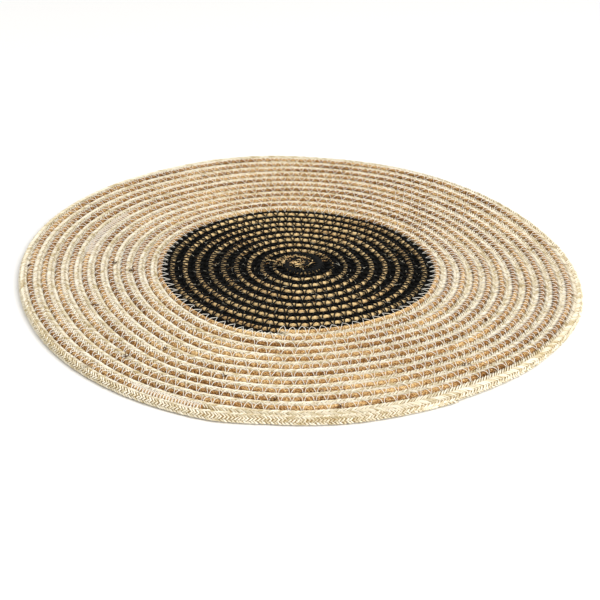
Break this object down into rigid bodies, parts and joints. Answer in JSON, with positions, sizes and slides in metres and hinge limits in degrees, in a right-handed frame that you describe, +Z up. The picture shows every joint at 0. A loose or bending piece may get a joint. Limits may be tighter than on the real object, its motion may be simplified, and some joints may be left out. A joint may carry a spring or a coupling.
{
  "type": "round jute placemat",
  "caption": "Flat round placemat wound from herringbone jute braid with thin jute cord between the turns, zigzag sewn, with a dark middle and a pale ring.",
  "frame": {"origin": "on the underside, under the middle of the mat's outline", "axes": "+Z up through the mat's thickness; -Y towards the place where the cord ends at the rim and cream takes over from black"},
  "size_m": [0.3774, 0.3826, 0.0065],
  "materials": {
    "black_jute": "matt, hairy, dyed black, plaited",
    "bleached_jute": "matt, slightly silky, bleached, plaited",
    "natural_jute": "matt, hairy, undyed, twisted",
    "black_thread": "soft sheen, spun sewing thread",
    "white_thread": "soft sheen, spun sewing thread"
  },
  "bodies": {
    "root": {"black_braid": "black_jute", "cream_braid": "bleached_jute", "jute_cord": "natural_jute"}
  },
  "joints": []
}
